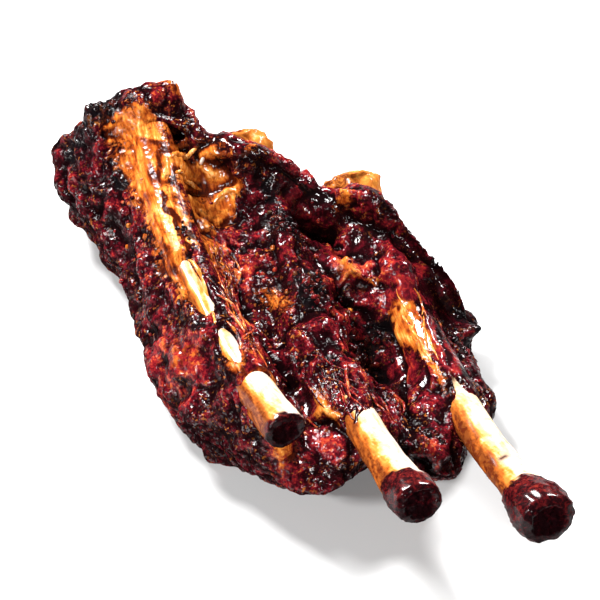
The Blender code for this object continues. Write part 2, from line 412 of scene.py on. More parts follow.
# Where the meat is what, in mm on the upper side: x, y, half width, half length, turn in degrees
# (a patch at 0 lies along the ribs), strength.
patches = {
    "amber": (
        (-41.0, 45, 6.8, 13, -4, 1.0),  # skin over the first rib
        (-40.0, 22, 4.6, 15, 3, 0.95),
        (-40.3, 3, 3.2, 9, 6, 0.8),
        (-46, 55, 5.0, 4.0, 40, 0.8),
        (-53, 56, 2.2, 1.6, 0, 0.9),
        (-31, 43, 6.5, 6.5, 60, 1.0),  # pocket
        (-22, 42, 6.0, 4.0, 80, 1.0),
        (-19, 35, 6.0, 5.0, 60, 0.95),
        (-28, 31, 5.0, 6.0, 0, 0.75),
        (-27, 15, 5.5, 10, 8, 0.72),  # orange fibres below it
        (-14, -1, 4.0, 6.0, 20, 0.55),
        (-38, 17, 2.6, 7.0, 0, 0.55),
        (10, 9, 5.5, 2.0, 35, 0.36),
        (12, 8, 5.5, 2.0, -40, 0.36),
        (18, 4, 4.0, 2.0, 20, 0.36),
        (22, -11, 2.6, 6.0, 10, 0.95),  # streak over the third rib
        (24.2, -20, 3.2, 6.0, 8, 0.9),
        (24.5, -32, 1.3, 8.0, 5, 0.9),
        (-10.8, -42, 1.9, 5.5, -6, 0.95),
        (-46, -18, 5.0, 11, 8, 0.40),
        (-28, -37, 5.0, 3.5, 0, 0.62),
        (-33, -31, 3.0, 4.0, 0, 0.75),
        (-25, -54, 5.0, 3.0, 60, 0.6),
        (14, 29, 3.5, 2.5, 60, 0.6),
        (-12, 42, 3.5, 2.0, 60, 0.5),
        (-29, 64, 5.5, 5.5, 0, 0.75),
        (-20, 55, 3.0, 2.0, 60, 0.5),
    ),
    # Paler, redder meat, and in part painted light where the glaze looks lit.
    "paleAndLit": (
        (-25, 14, 6.5, 11, 8, 1.0),
        (-28, -22, 3.2, 9, 6, 0.85),
        (-18, -42, 5.0, 8, 0, 0.5),
        (22, -1, 6.5, 5, 60, 0.9),
        (19, -25, 2.4, 8, 6, 0.85),
        (29, -24, 4.0, 12, 6, 0.9),
        (6, -8, 4.5, 3.5, 0, 0.6),
        (-46, -18, 5.5, 11, 8, 0.95),
        (-28, -37, 6.0, 5.0, 0, 0.9),
        (17, -57, 4.0, 4, 0, 0.6),
        (-29, 65, 8.0, 7, 0, 1.0),
        (-12, 50, 6.0, 3, 70, 0.5),
        (30, 8, 5.0, 6, 20, 0.5),
        (12, 20, 7.0, 3, 60, 0.55),
        (0, 43, 5.0, 13, 62, 0.75),
        (15, 33, 5.0, 7, 50, 0.6),
        (-12, -55, 6.0, 5, 0, 0.6),
        (-25, -55, 6.0, 4, 50, 0.7),
        (-4, -36, 6.0, 8, 20, 0.35),
        (11, 9, 7.0, 4.5, 0, 1.0),
        (-46, 30, 3.0, 14, 0, 0.4),
    ),
    "charred": (
        (-50, 62, 7.5, 4.5, 60, 1.0),
        (-58, 57, 4.0, 6.0, 0, 0.6),
        (-44, 46, 1.6, 3.0, 0, 0.3),
        (-49, 42, 2.6, 4.0, 0, 0.75),
        (-4, 21, 4.5, 4.0, 0, 1.0),
        (-7, 32, 2.6, 3.0, 0, 0.9),
        (-4, -2, 6.5, 4.5, 60, 0.95),
        (11, -20, 6.0, 9.0, 0, 0.8),
        (17, -9, 4.0, 3.5, 0, 0.85),
        (43, -10, 4.0, 5.0, 0, 1.0),
        (-39, -14, 1.8, 2.6, 0, 0.85),
        (16, -54, 2.4, 2.4, 0, 0.8),
        (-20, 62, 3.0, 4.0, 0, 0.8),
        (-53, -32, 4.0, 10, 0, 0.6),
        (-36, 17, 2.0, 3.0, 0, 0.5),
    ),
    "combed": (  # long fibres show
        (-28, -12, 4.5, 22, 6, 1.0),
        (-26, 14, 5.0, 12, 6, 0.7),
        (-41.5, 25, 4.0, 28, 0, 0.8),
        (-5, -40, 9.0, 12, 0, 0.8),
        (8, -38, 6.0, 10, 0, 0.8),
        (24, -20, 5.0, 20, 0, 0.4),
    ),
    "wet": (  # smooth pools of glaze
        (-18, -42, 5.0, 8, 0, 1.0),
        (36, 0, 7.0, 10, 0, 0.95),
        (29, -27, 4.0, 10, 6, 0.95),
        (19, -27, 3.0, 9, 6, 0.95),
        (18, 20, 7.0, 4, 60, 0.75),
        (2, 12, 5.0, 4, 40, 0.6),
        (-20, -2, 4.0, 5, 0, 0.5),
        (-46, -18, 4.0, 8, 8, 0.5),
        (4, 32, 4.0, 12, 62, 0.9),
        (-16, 46, 4.0, 8, 60, 0.8),
        (23, -3, 5.0, 6, 0, 0.8),
        (24, -16, 3.5, 7, 5, 0.7),
        (-26, 41, 8.0, 7, 60, 0.85),
        (-29, 64, 6.0, 5, 0, 0.5),
        (36, 14, 6.0, 8, 20, 0.8),
        (-41.5, 40, 3.0, 12, 0, 0.5),
    ),
}

# Narrow folds (positive) and tears (negative): half width, height, then points along, in mm.
folds = (
    (1.3, 1.7, ((-36, 37), (-31, 43.5), (-25, 45.5), (-19, 44.5), (-14, 39.5))),
    (1.0, 1.1, ((-36, 40), (-30, 47.5), (-23, 49))),
    (1.2, -0.9, ((-35, 33), (-28, 39), (-22, 41), (-17, 38))),
    (0.9, -2.2, ((-39.5, 30), (-38.3, 23.5), (-37.6, 14.5), (-36, 8))),
    (2.0, 0.6, ((-24, 35), (-19, 37), (-15, 33))),
    (1.2, -0.9, ((-26, 30), (-20, 31), (-15, 28))),
    (0.8, -1.2, ((-22, 20), (-17, 17), (-13, 19))),
    (1.0, -1.8, ((-12, 24), (-4, 27), (4, 25), (12, 20))),
    (1.1, 1.0, ((-20, 26), (-18, 16), (-19, 4))),
    (1.0, -1.5, ((-21.5, 4), (-22, -8), (-19, -20), (-16, -30))),
    (1.3, 1.3, ((-12, -8), (-9, -20), (-9, -32))),
    (1.2, -1.8, ((0, -10), (2, -20), (0, -30))),
    (1.0, 1.2, ((5, -14), (8, -22), (6, -33))),
    (1.0, -1.4, ((20, -8), (19, -20), (17, -30), (15, -42))),
    (1.0, 0.9, ((21, -7), (23, -18), (22, -36))),
    (0.9, -1.2, ((28, -6), (30, -18), (30, -30))),
    (1.2, 1.2, ((6, 14), (12, 8), (19, 4), (27, 4))),
    (1.0, -1.5, ((9, 2), (14, -3), (18, -9))),
    (0.7, 1.0, ((6, 12), (10, 9), (15, 5))),
    (0.7, 1.0, ((7, 5), (11, 9), (14, 14))),
    (1.2, 1.0, ((-1, -44), (4, -50), (9, -55))),
    (1.0, -1.6, ((-13, -46), (-9, -52), (-8, -60))),
    (1.0, -1.4, ((7, -46), (9, -52), (7, -60))),
    (1.1, 1.2, ((-10, 46), (0, 40), (9, 35), (18, 27))),  # along the rolled rim
    (0.9, -1.2, ((-16, 48), (-4, 44), (6, 39), (15, 31))),
    (0.9, -1.0, ((-8, 37), (2, 35), (12, 29), (20, 21))),
)


def patchAt(x, y, patches):
    # How much of the nearest of several soft-edged patches lies at each point.
    bare = np.ones(x.shape)
    for patchX, patchY, wide, long, turn, strength in patches:
        c, s = math.cos(math.radians(turn)), math.sin(math.radians(turn))
        dx, dy = x - patchX * mm, y - patchY * mm
        across, along = (dx * c + dy * s) / (wide * mm), (dy * c - dx * s) / (long * mm)
        bare = bare * (1 - strength * np.exp(-((across**2 + along**2) ** 1.3)))
    return 1 - bare


def fromLine(x, y, points):
    nearest = np.full(x.shape, 9.0)
    for start, end in zip(points, points[1:]):
        a, b = np.array(start) * mm, np.array(end) * mm
        way = b - a
        t = np.clip(((x - a[0]) * way[0] + (y - a[1]) * way[1]) / way.dot(way), 0, 1)
        nearest = np.minimum(nearest, np.hypot(x - a[0] - way[0] * t, y - a[1] - way[1] * t))
    return nearest


# Where the first and third rib show through: rib, share along it, half length as a share,
# angle round the rib from its right side, half angle, both in degrees.
windows = (
    ("rib_1", 0.535, 0.090, 118, 33),
    ("rib_1", 0.725, 0.052, 110, 27),
    ("rib_1", 1.00, 0.145, 95, 125),
)


# The share of each rib where the meat starts and stops lying over it.
coverFrom = {"rib_1": -0.05, "rib_2": 0.11, "rib_3": 0.10}
bareFrom = {"rib_1": 0.895, "rib_2": 0.74, "rib_3": 0.555}
# How much later the meat stops at a rib's sides than on its top, as a share.
pointed = {"rib_1": 0.02, "rib_2": 0.05, "rib_3": 0.20}


def roundRib(rib, coords):
    # Where points lie round a rib: share along it, its axis, offsets, distance, angle, bone radius.
    share = ribShare(rib, coords[:, 1])
    axis = ribPlace(rib, np.clip(share, 0, 1))
    dx, dz = coords[:, 0] - axis[:, 0], coords[:, 2] - axis[:, 2]
    angle = np.degrees(np.arctan2(dz, dx))
    boneRadius = np.hypot(rib["shaft"][0] * np.cos(np.radians(angle)),
                          rib["shaft"][1] * np.sin(np.radians(angle)))
    return share, axis, dx, dz, np.hypot(dx, dz), angle, boneRadius


def drawToBone(coords, top):
    # Pulls the skin tight over the first rib, and lets the bone out at the windows.
    allOpened = np.zeros(len(coords))
    for name, rib in ribs.items():
        if name == "rib_1":
            share, axis, dx, dz, radius, angle, boneRadius = roundRib(rib, coords)
            tight = step(0.04, 0.12, share) * step(0.84, 0.74, share)
            tight *= step(175, 120, angle) * step(20, 60, angle) * top
            tight *= step(8.5 * mm, 5 * mm, radius - boneRadius)
            wanted = boneRadius + 1.3 * mm + 0.35 * mm * roughAt(coords, 0.005, 2, 71)
            drawn = radius + (np.minimum(wanted, radius) - radius) * tight * 0.85
            coords = moveRound(coords, axis, dx, dz, radius, drawn)
        for windowRib, centre, half, middle, halfAngle in windows:
            if windowRib != name:
                continue
            share, axis, dx, dz, radius, angle, boneRadius = roundRib(rib, coords)
            ragged = 0.25 * lumpsAt(coords, 0.003, 72)
            lens = ((share - centre) / half) ** 2 + ((angle - middle) / halfAngle) ** 2 + ragged
            opened = step(1.25, 0.8, lens) * step(6 * mm, 4 * mm, radius - boneRadius)
            wanted = np.minimum(boneRadius - 1.3 * mm, radius)
            coords = moveRound(coords, axis, dx, dz, radius, radius + (wanted - radius) * opened)
            allOpened = np.maximum(allOpened, step(1.9, 1.2, lens))
    return coords, allOpened


def coverBones(coords, opened):
    # Away from the windows the meat lies over the bones.
    for name, rib in ribs.items():
        share, axis, dx, dz, radius, angle, boneRadius = roundRib(rib, coords)
        fromTop = np.abs((angle - 90 + 180) % 360 - 180)
        edge = bareFrom[name] + pointed[name] * np.minimum(fromTop / 75, 1.3)
        edge = edge + 0.012 * lumpsAt(coords, 0.003, 77)
        covered = step(edge + 0.006, edge - 0.008, share)
        opened = np.maximum(opened, step(-0.008, 0.006, share - edge) * (share > 0.5))
        covered *= step(coverFrom[name], coverFrom[name] + 0.05, share)
        covered *= step(135, 105, fromTop) * (1 - opened)
        clear = np.maximum(boneRadius + 1.2 * mm - radius, 0) * covered
        # Past that edge it stays just under the bone's skin.
        bare = step(-0.006, 0.010, share - edge) * step(115, 90, fromTop) * (share > 0.5)
        bare *= step(5.5 * mm, 3 * mm, radius - boneRadius)
        clear = clear * (1 - bare) + np.minimum(boneRadius - 1.0 * mm - radius, 0) * bare
        coords = moveRound(coords, axis, dx, dz, radius, radius + clear)
    return coords


def moveRound(coords, axis, dx, dz, was, now):
    moved = coords.copy()
    moved[:, 0] = axis[:, 0] + dx * now / was
    moved[:, 2] = axis[:, 2] + dz * now / was
    return moved


def nearSlit(coords):
    # 1 on the walls of the slit, which stay plain so that it keeps open.
    lengthwise, across, through = (np.array(axis) for axis in slitAxes())
    away = coords - np.array(slit["middle"])
    wide = np.abs(away @ across) / (slit["width"] * 0.5 + 1.6 * mm)
    long = np.abs(away @ lengthwise) / (slit["length"] * 0.5 + 1.0 * mm)
    return step(1.25, 0.85, np.maximum(wide, long))


def sculptMeat(mesh):
    edges = edgesOf(mesh)
    base = eased(edges, coordsOf(mesh), 5)
    setCoords(mesh, base)
    normal = normalsOf(mesh)
    top = step(0.0, 0.45, normal[:, 2])
    base, opened = drawToBone(base, top)
    setCoords(mesh, base)
    normal = normalsOf(mesh)
    x, y, z = base.T
    under = step(0.2, 0.7, -normal[:, 2])
    flank = 1 - np.maximum(top, under)
    warp = np.stack([roughAt(base, 0.009, 3, s) for s in (11, 14, 17)], axis=1)
    # Patches have ragged, wandering edges.
    strayX, strayY = x + warp[:, 0] * 2.6 * mm, y + warp[:, 1] * 2.6 * mm
    mask = {kind: patchAt(strayX, strayY, spots) * np.maximum(top, 0.75 * flank)
            for kind, spots in patches.items()}
    calm = 1 - 0.9 * mask["wet"]

    # Large lumps, then the listed folds and tears.
    height = 1.0 * mm * roughAt(base, 0.012, 2, 1) - 0.4 * mm
    for halfWidth, tall, points in folds:
        away = fromLine(strayX, strayY, points)
        height += 1.3 * tall * mm * hump(away, halfWidth * mm) * top
    # Meat fibres follow the ribs.
    combed = np.stack([x + y * 0.09, y, z], axis=1) + warp * 1.3 * mm
    strands = creasedAt(combed, (0.0026, 0.022, 0.006), 2, 31, 0.45)
    height += (strands - 0.4) * (0.15 + 1.45 * mask["combed"]) * mm * top * calm
    # Smooth swellings parted by sharp creases, finer in some places than in others.
    warped = base + warp * 3.0 * mm
    crumbled = step(-0.25, 0.45, lumpsAt(base, 0.017, 95) + 0.5 * mask["charred"])
    swollen = creasedAt(warped, (0.011, 0.017, 0.011), 2, 21, 0.36)
    fatty = 1 - 0.55 * mask["amber"]
    height += (swollen - 0.42) * 3.0 * mm * calm * fatty * (1 - 0.5 * mask["combed"]) * (1 - 0.5 * under)
    finer = creasedAt(warped, 0.0036, 2, 24, 0.4)
    height += (finer - 0.4) * (0.10 + 0.65 * crumbled) * mm * calm * (1 - 0.6 * mask["combed"])
    near, second = cellsAt(warped + warp * 0.8 * mm, 0.0036, 51)
    crust = step(0.0, 0.55, second - near)
    crusty = np.clip(mask["charred"] * 1.1 + flank * 0.30, 0, 1) * calm
    height += (crust - 0.7) * 0.80 * mm * crusty * (1 - 0.5 * under)
    pimples = lumpsAt(warped, 0.0022, 41)
    height += pimples * (0.08 + 0.30 * crusty) * mm * calm

    height *= 1 - 0.55 * mask["amber"] * mask["wet"]
    height = height * (1 - nearSlit(base))
    covered = step(0.2 * mm, 1.2 * mm, clearOfBone(base))
    moved = base + normal * (height * (0.25 + 0.75 * covered))[:, None]
    moved += (eased(edges, moved, 3) - moved) * (0.8 * mask["wet"])[:, None]
    moved = coverBones(moved, opened)
    # The burnt nub on the right edge, and the one standing up in the far left corner.
    nub = hump(np.linalg.norm(base - (0.0405, -0.010, 0.0125), axis=1), 0.0028)
    moved += nub[:, None] * np.array((6.5, -0.6, 1.8)) * mm
    nub = hump(np.hypot(x + 0.029, y - 0.063), 0.0055) * step(-0.2, 0.4, normal[:, 2])
    moved += nub[:, None] * np.array((1.0, 1.5, 4.5)) * mm
    moved[:, 2] = np.maximum(moved[:, 2], 0.0)
    setCoords(mesh, moved)
    # Depths of crevices and hollows. The finish paints these darker, partly as painted shade and partly as
    # pooled sauce.
    relief = height - blurred(edges, height, 10)
    paint(mesh, "crevice", 0.5 - relief / (1.6 * mm))
    deep = height - blurred(edges, height, 60)
    paint(mesh, "hollow", 0.5 - deep / (3.0 * mm))
    for kind in ("amber", "paleAndLit", "charred", "wet", "combed"):
        paint(mesh, kind, mask[kind])
    # Side-facing surfaces. The finish paints them darker as painted shade.
    paint(mesh, "flank", flank)


def clearOfBone(coords):
    # Height of each point over the nearest rib's surface, about.
    clear = np.full(len(coords), 1.0)
    for rib in ribs.values():
        axis = ribPlace(rib, np.clip(ribShare(rib, coords[:, 1]), 0, 1))
        away = np.hypot(coords[:, 0] - axis[:, 0], coords[:, 2] - axis[:, 2])
        clear = np.minimum(clear, away - rib["shaft"][1])
    return clear


sculptMeat(meat.data)
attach(meat, "root")
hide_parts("meat")
print("Slab sculpted")


# ---- the rib bones ----

bones = {
    "sides": 64,
    "rings": 180,
    "insets": 16,
}


def boneBlank(name):
    # A cylinder with even rings, and nested rings on both end faces.
    bpy.ops.object.select_all(action="DESELECT")
    bpy.ops.mesh.primitive_cylinder_add(vertices=bones["sides"], radius=1, depth=1)
    bone = bpy.context.active_object
    bone.name = bone.data.name = name
    mesh = bone.data
    bpy.ops.object.mode_set(mode="EDIT")
    bpy.ops.mesh.select_mode(type="EDGE")
    bpy.ops.mesh.select_all(action="DESELECT")
    bpy.ops.object.mode_set(mode="OBJECT")
    for edge in mesh.edges:
        a, b = (mesh.vertices[v].co for v in edge.vertices)
        edge.select = abs(a.z - b.z) > 0.5
    bpy.ops.object.mode_set(mode="EDIT")
    bpy.ops.mesh.subdivide(number_cuts=bones["rings"])
    bpy.ops.mesh.select_mode(type="FACE")
    bpy.ops.mesh.select_all(action="DESELECT")
    bpy.ops.object.mode_set(mode="OBJECT")
    for face in mesh.polygons:
        face.select = abs(face.normal.z) > 0.9
    bpy.ops.object.mode_set(mode="EDIT")
    for _ in range(bones["insets"]):
        bpy.ops.mesh.inset(thickness=0.9 / bones["insets"])
    bpy.ops.object.mode_set(mode="OBJECT")
    return bone


# How each bone's end is burnt: length of the dark cap, how much longer it is on one side and the
# angle of that side in degrees, and how thick the crust is, in mm.
boneEnds = {
    "rib_1": {"cap": 0.8, "slant": 1.2, "side": 20, "crust": 0.25, "rounding": 0.5, "settled": 0.0, "lobes": ()},
    "rib_2": {"cap": 6.0, "slant": 3.6, "side": 15, "crust": 0.55, "rounding": 1.8, "settled": 8.0,
              "lobes": ((10, 1.5, 2.0), (150, 2.5, 1.2))},
    "rib_3": {"cap": 10.5, "slant": 2.4, "side": 25, "crust": 0.9, "rounding": 2.6, "settled": 7.0,
              "lobes": ((15, 1.5, 2.4), (165, 2.0, 1.6), (92, 1.5, -2.4))},
}


def shapeBone(mesh, name, seed):
    rib, end = ribs[name], boneEnds[name]
    blank = coordsOf(mesh)
    share = np.clip(0.5 - blank[:, 2], 0, 1)
    radius = np.hypot(blank[:, 0], blank[:, 1])
    angle = np.arctan2(blank[:, 1], blank[:, 0])
    head = np.maximum(0, 1 - share / headShare) ** 0.7
    reach = np.maximum(0, 1 - (1 - share) / (1.5 * tipShare))
    tip = reach**1.5 * (1 - 0.45 * step(0.78, 1.0, reach))
    ahead = ribPlace(rib, share + 0.01) - ribPlace(rib, share - 0.01)
    ahead /= np.linalg.norm(ahead, axis=1)[:, None]
    across = np.cross(ahead, (0, 0, 1))
    across /= np.linalg.norm(across, axis=1)[:, None]
    up = np.cross(across, ahead)
    size = [rib["shaft"][k] + (rib["head"][k] - rib["shaft"][k]) * head
            + (rib["tip"][k] - rib["shaft"][k]) * tip for k in (0, 1)]
    onFace = radius < 0.999
    outward = across * np.cos(angle)[:, None] + up * np.sin(angle)[:, None]
    spot = ribPlace(rib, share) - [0, 0, 1] * (end["settled"] * mm * np.maximum(0, 1 - share / 0.2))[:, None]
    spot += across * (size[0] * radius * np.cos(angle))[:, None]
    spot += up * (size[1] * radius * np.sin(angle))[:, None]
    # Domed head, and a sawn tip with a rim of hard bone round sunken marrow.
    dome = np.sqrt(np.maximum(0, 1 - radius**2)) * 2.6 * mm
    spongy = step(0.78, 0.58, radius + 0.16 * roughAt(spot, 0.004, 2, seed + 15))
    coarse, second = cellsAt(spot, 0.0014, seed + 5)
    sunk = (end["rounding"] * np.sqrt(np.maximum(0, 1 - radius**5)) - spongy * (0.3 + 0.9 * coarse)) * mm
    spot += ahead * np.where(onFace, np.where(share < 0.5, -dome, sunk), 0)[:, None]
    fromTip = (1 - share) * (rib["far"][1] - rib["near"][1])
    fromHead = share * (rib["far"][1] - rib["near"][1])
    side = math.radians(end["side"])
    ragged = 1.6 * roughAt(spot, (0.0035, 0.0035, 0.0035), 3, seed + 9)
    capEdge = (end["cap"] + end["slant"] * np.cos(angle - side) + ragged) * mm
    capped = step(0.5 * mm, -0.5 * mm, fromTip - capEdge)
    capped = np.where(onFace & (share > 0.5), 1.0, capped)
    # Slightly uneven shaft, fine lengthwise ridges, a knobbly head and a lumpy burnt cap.
    wavy = roughAt(spot, (0.007, 0.022, 0.007), 2, seed) * 0.45
    ridged = roughAt(spot, (0.0012, 0.012, 0.0012), 2, seed + 2) * 0.10
    knobbly = roughAt(spot, 0.0030, 3, seed + 3) * 1.3 * step(9 * mm, 4 * mm, fromHead)
    near, second = cellsAt(spot + roughAt(spot, 0.002, 2, seed + 6)[:, None] * 0.6 * mm, 0.0026, seed)
    crust = (0.5 + 0.8 * np.sqrt(np.clip(second - near, 0, 0.6))) * end["crust"] * capped
    crust += roughAt(spot, 0.0012, 2, seed + 4) * 0.22 * capped
    swollen = np.zeros(len(spot))
    for degrees, along, tall in end["lobes"]:
        turn = np.degrees(np.arctan2(np.sin(angle - math.radians(degrees)),
                                     np.cos(angle - math.radians(degrees))))
        swollen += tall * hump(turn, 42) * hump(fromHead - along * mm, 3.2 * mm)
    away = (wavy + ridged + knobbly + crust + swollen * np.where(onFace, radius, 1)) * mm
    rim = np.where(onFace & (radius < 0.92), 0.15, 1.0)
    spot += outward * (away * rim)[:, None]
    spot += ahead * (roughAt(spot, 0.0022, 2, seed + 7) * 0.5 * mm * onFace)[:, None]
    setCoords(mesh, spot)
    paint(mesh, "capped", capped)
    paint(mesh, "marrow", (0.55 + 0.45 * spongy) * onFace * (share > 0.5))
    paint(mesh, "knob", step(14 * mm, 6 * mm, fromHead))
    # How far each point faces up and to the left. The finish paints that side lighter and the underside darker,
    # as painted light and shade.
    paint(mesh, "upward", 0.5 + 0.5 * np.cos(angle - math.radians(122)))
    paint(mesh, "streaked", 0.5 + 0.5 * roughAt(spot, (0.0011, 0.030, 0.0011), 2, seed + 12))
    nick = np.zeros(len(spot))
    if name == "rib_3":
        turn = np.degrees(angle) - 75
        nick = 1.5 * hump(turn, 22) * hump(fromTip - (23 + 0.03 * turn) * mm, 0.7 * mm)
    paint(mesh, "nick", nick)


for count, name in enumerate(ribs):
    bone = boneBlank("bone_" + name[-1])
    shapeBone(bone.data, name, 60 + 20 * count)
    bone.data.shade_smooth()
    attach(bone, "root")
    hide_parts(name)
    print("Bone", count + 1, "shaped")


# ---- small pieces lying on the slab ----

slabTree = BVHTree.FromPolygons(*[
    [tuple(v) for v in coordsOf(meat.data)], [tuple(face.vertices) for face in meat.data.polygons]])


def onSlab(x, y):
    # The slab's top and its slope at a place in mm.
    place, slope, face, away = slabTree.ray_cast(Vector((x * mm, y * mm, 0.2)), Vector((0, 0, -1)))
    return place, slope


def tubeParts(path, radii, sides):
    # Rings of a closed tube along a path, with a point at both ends.
    path = np.asarray(path)
    ahead = np.gradient(path, axis=0)
    ahead /= np.linalg.norm(ahead, axis=1)[:, None]
    across = np.cross(ahead, (0.1, 0.0, 1.0))
    across /= np.linalg.norm(across, axis=1)[:, None]
    up = np.cross(across, ahead)
    turns = np.arange(sides) * 2 * math.pi / sides
    points = [path[0] - ahead[0] * radii[0]]
    faces = []
    for i in range(len(path)):
        for turn in turns:
            points.append(path[i] + (across[i] * math.cos(turn) + up[i] * math.sin(turn)) * radii[i])
    points.append(path[-1] + ahead[-1] * radii[-1])
    for k in range(sides):
        after = (k + 1) % sides
        faces.append((0, 1 + k, 1 + after))
        for i in range(len(path) - 1):
            low, high = 1 + i * sides, 1 + (i + 1) * sides
            faces.append((low + k, high + k, high + after, low + after))
        last = 1 + (len(path) - 1) * sides
        faces.append((last + k, len(points) - 1, last + after))
    return points, faces


def pieceOf(name, parts, values):
    # One piece from many closed parts, each with its own value for every painted look.
    points, faces, painted = [], [], {kind: [] for kind in values[0]}
    for (partPoints, partFaces), look in zip(parts, values):
        faces += [tuple(v + len(points) for v in face) for face in partFaces]
        points += [tuple(v) for v in partPoints]
        for kind in painted:
            painted[kind] += [look[kind]] * len(partPoints)
    mesh = bpy.data.meshes.new(name)
    mesh.from_pydata(points, [], faces)
    for kind, kept in painted.items():
        paint(mesh, kind, np.array(kept))
    piece = bpy.data.objects.new(name, mesh)
    bpy.context.scene.collection.objects.link(piece)
    selectOnly(piece)
    bpy.ops.object.mode_set(mode="EDIT")
    bpy.ops.mesh.select_all(action="SELECT")
    bpy.ops.mesh.normals_make_consistent(inside=False)
    bpy.ops.object.mode_set(mode="OBJECT")
    mesh.shade_smooth()
    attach(piece, "root")
    return piece


# Loose threads of meat: where, how many, spread in mm, length, how amber, and how pale and lit, in part painted
# light.
threads = {
    "rings": 11,
    "sides": 6,
    "thickness": (0.16, 0.42),  # mm, thinnest and thickest
    "lift": 0.9,
    "beds": (
        ((-28, -12), 46, (4.0, 17), (8, 20), 0.35, 0.9),
        ((-26, 12), 26, (4.5, 7), (6, 12), 0.35, 0.8),
        ((-5, -38), 34, (9, 11), (6, 16), 0.15, 0.5),
        ((8, -40), 24, (6, 9), (6, 14), 0.15, 0.5),
        ((24, -20), 9, (3.0, 12), (6, 14), 1.0, 0.9),
        ((-20, -44), 14, (6, 6), (5, 10), 0.2, 0.6),
    ),
}
# Burnt crumbs: where, how many, spread in mm, size, and how burnt.
crumbs = {
    "beds": (
        ((-52, 61), 50, (5, 4), (0.5, 1.1), 1.0),
        ((-4, 21), 34, (4, 4), (0.5, 1.1), 1.0),
        ((-4, -2), 44, (7, 5), (0.5, 1.1), 0.8),
        ((12, -14), 50, (6, 10), (0.4, 1.1), 0.9),
        ((-37, 17), 16, (2, 5), (0.4, 0.8), 0.7),
        ((16, -54), 20, (4, 4), (0.4, 0.9), 0.8),
        ((38, -12), 30, (4, 9), (0.5, 1.1), 1.0),
        ((-8, 0), 120, (26, 34), (0.35, 0.8), 0.3),
        ((-48, 20), 60, (4, 24), (0.4, 0.9), 0.4),
    ),
}


def meatThreads(dice):
    parts, values = [], []
    for (centreX, centreY), count, (wide, long), (shortest, longest), amber, paleAndLit in threads["beds"]:
        for _ in range(count):
            x = centreX + dice.normal() * wide * 0.5
            y = centreY + dice.normal() * long * 0.5
            length = dice.uniform(shortest, longest)
            turn = math.radians(-5 + dice.normal() * 14)
            bend = dice.normal() * 1.2
            lift = abs(dice.normal()) * threads["lift"] * 0.6
            loose = dice.uniform() < 0.25
            thick = dice.uniform(*threads["thickness"])
            path, radii = [], []
            for t in np.linspace(0, 1, threads["rings"]):
                along, sag = (t - 0.5) * length, math.sin(math.pi * t)
                px = x + along * math.sin(turn) + bend * sag
                py = y + along * math.cos(turn)
                place, slope = onSlab(px, py)
                if place is None:
                    break
                rise = lift * (t**2 * 1.6 if loose else sag) + thick * 0.3
                path.append(np.array(place) + np.array(slope) * (rise - 0.1) * mm)
                radii.append(thick * mm * (0.25 + 0.75 * sag**0.6))
            if len(path) < threads["rings"]:
                continue
            heights = np.array(path)[:, 2]
            if np.abs(np.diff(heights)).max() > 2.2 * mm:
                continue
            path = np.array(path)
            path[1:-1] = (path[:-2] + 2 * path[1:-1] + path[2:]) / 4
            parts.append(tubeParts(path, radii, threads["sides"]))
            values.append({"amber": amber * dice.uniform(0.3, 1.3), "paleAndLit": paleAndLit * dice.uniform(0, 1.2),
                           "crevice": 0.35, "combed": 0.5})
    return pieceOf("meat_threads", parts, values)


def burntCrumbs(dice):
    # One pebble is modelled, then copied, squashed and set into the surface.
    bpy.ops.object.select_all(action="DESELECT")
    bpy.ops.mesh.primitive_ico_sphere_add(subdivisions=2, radius=1)
    pebble = bpy.context.active_object
    ball = coordsOf(pebble.data)
    faces = [tuple(face.vertices) for face in pebble.data.polygons]
    bpy.data.objects.remove(pebble)
    parts, values = [], []
    for (centreX, centreY), count, (wide, long), (smallest, largest), burnt in crumbs["beds"]:
        for _ in range(count):
            place, slope = onSlab(centreX + dice.normal() * wide * 0.6, centreY + dice.normal() * long * 0.6)
            if place is None:
                continue
            size = dice.uniform(smallest, largest) * mm
            shape = ball * (1 + 0.5 * lumpsAt(ball + dice.uniform(0, 50, 3), 0.9, 5))[:, None]
            shape = shape * dice.uniform(0.7, 1.3, 3) * size
            spin = dice.uniform(0, 2 * math.pi)
            c, s = math.cos(spin), math.sin(spin)
            shape = shape @ np.array(((c, -s, 0), (s, c, 0), (0, 0, 1)))
            parts.append((shape + np.array(place) - np.array(slope) * size * 0.25, faces))
            values.append({"amber": 0.6 * (dice.uniform() < 0.04 * (1.4 - burnt)), "charred": burnt * dice.uniform(0.3, 1.1),
                           "paleAndLit": dice.uniform(0, 0.8), "crevice": 0.4})
    return pieceOf("burnt_crumbs", parts, values)


# Thin lips of membrane in the pocket and beside the windows: radius in mm, how amber, how pale and lit
# (in part painted light), then points along with the height over the slab.
lips = (
    (0.7, 0.9, 0.2, ((-35, 42, 0.0), (-32, 45.5, 0.4), (-28.5, 47.5, 0.5), (-25, 48, 0.0))),
    (0.6, 1.0, 0.3, ((-34, 37.5, 0.1), (-31, 40, 0.7), (-27.5, 41, 0.8), (-24.5, 40.5, 0.2))),
    (0.8, 0.7, 0.4, ((-22, 35, 0.0), (-20.0, 37, 0.4), (-17, 36.5, 0.4), (-15, 33.5, 0.0))),
    (0.55, 0.9, 0.0, ((-37.2, 8, 0.0), (-35.8, 3, 0.4), (-35.0, -4, 0.4), (-35.2, -10, 0.3), (-36, -17, 0.0))),
    (0.4, 0.4, 0.3, ((-33, -16, 0.1), (-31.0, -22, 0.3), (-31.5, -29, 0.2), (-33, -33, 0.0))),
    (0.5, 0.9, 0.4, ((21.5, -9, 0.0), (22.5, -15, 0.3), (23.5, -23, 0.3), (24.5, -31, 0.0))),
)


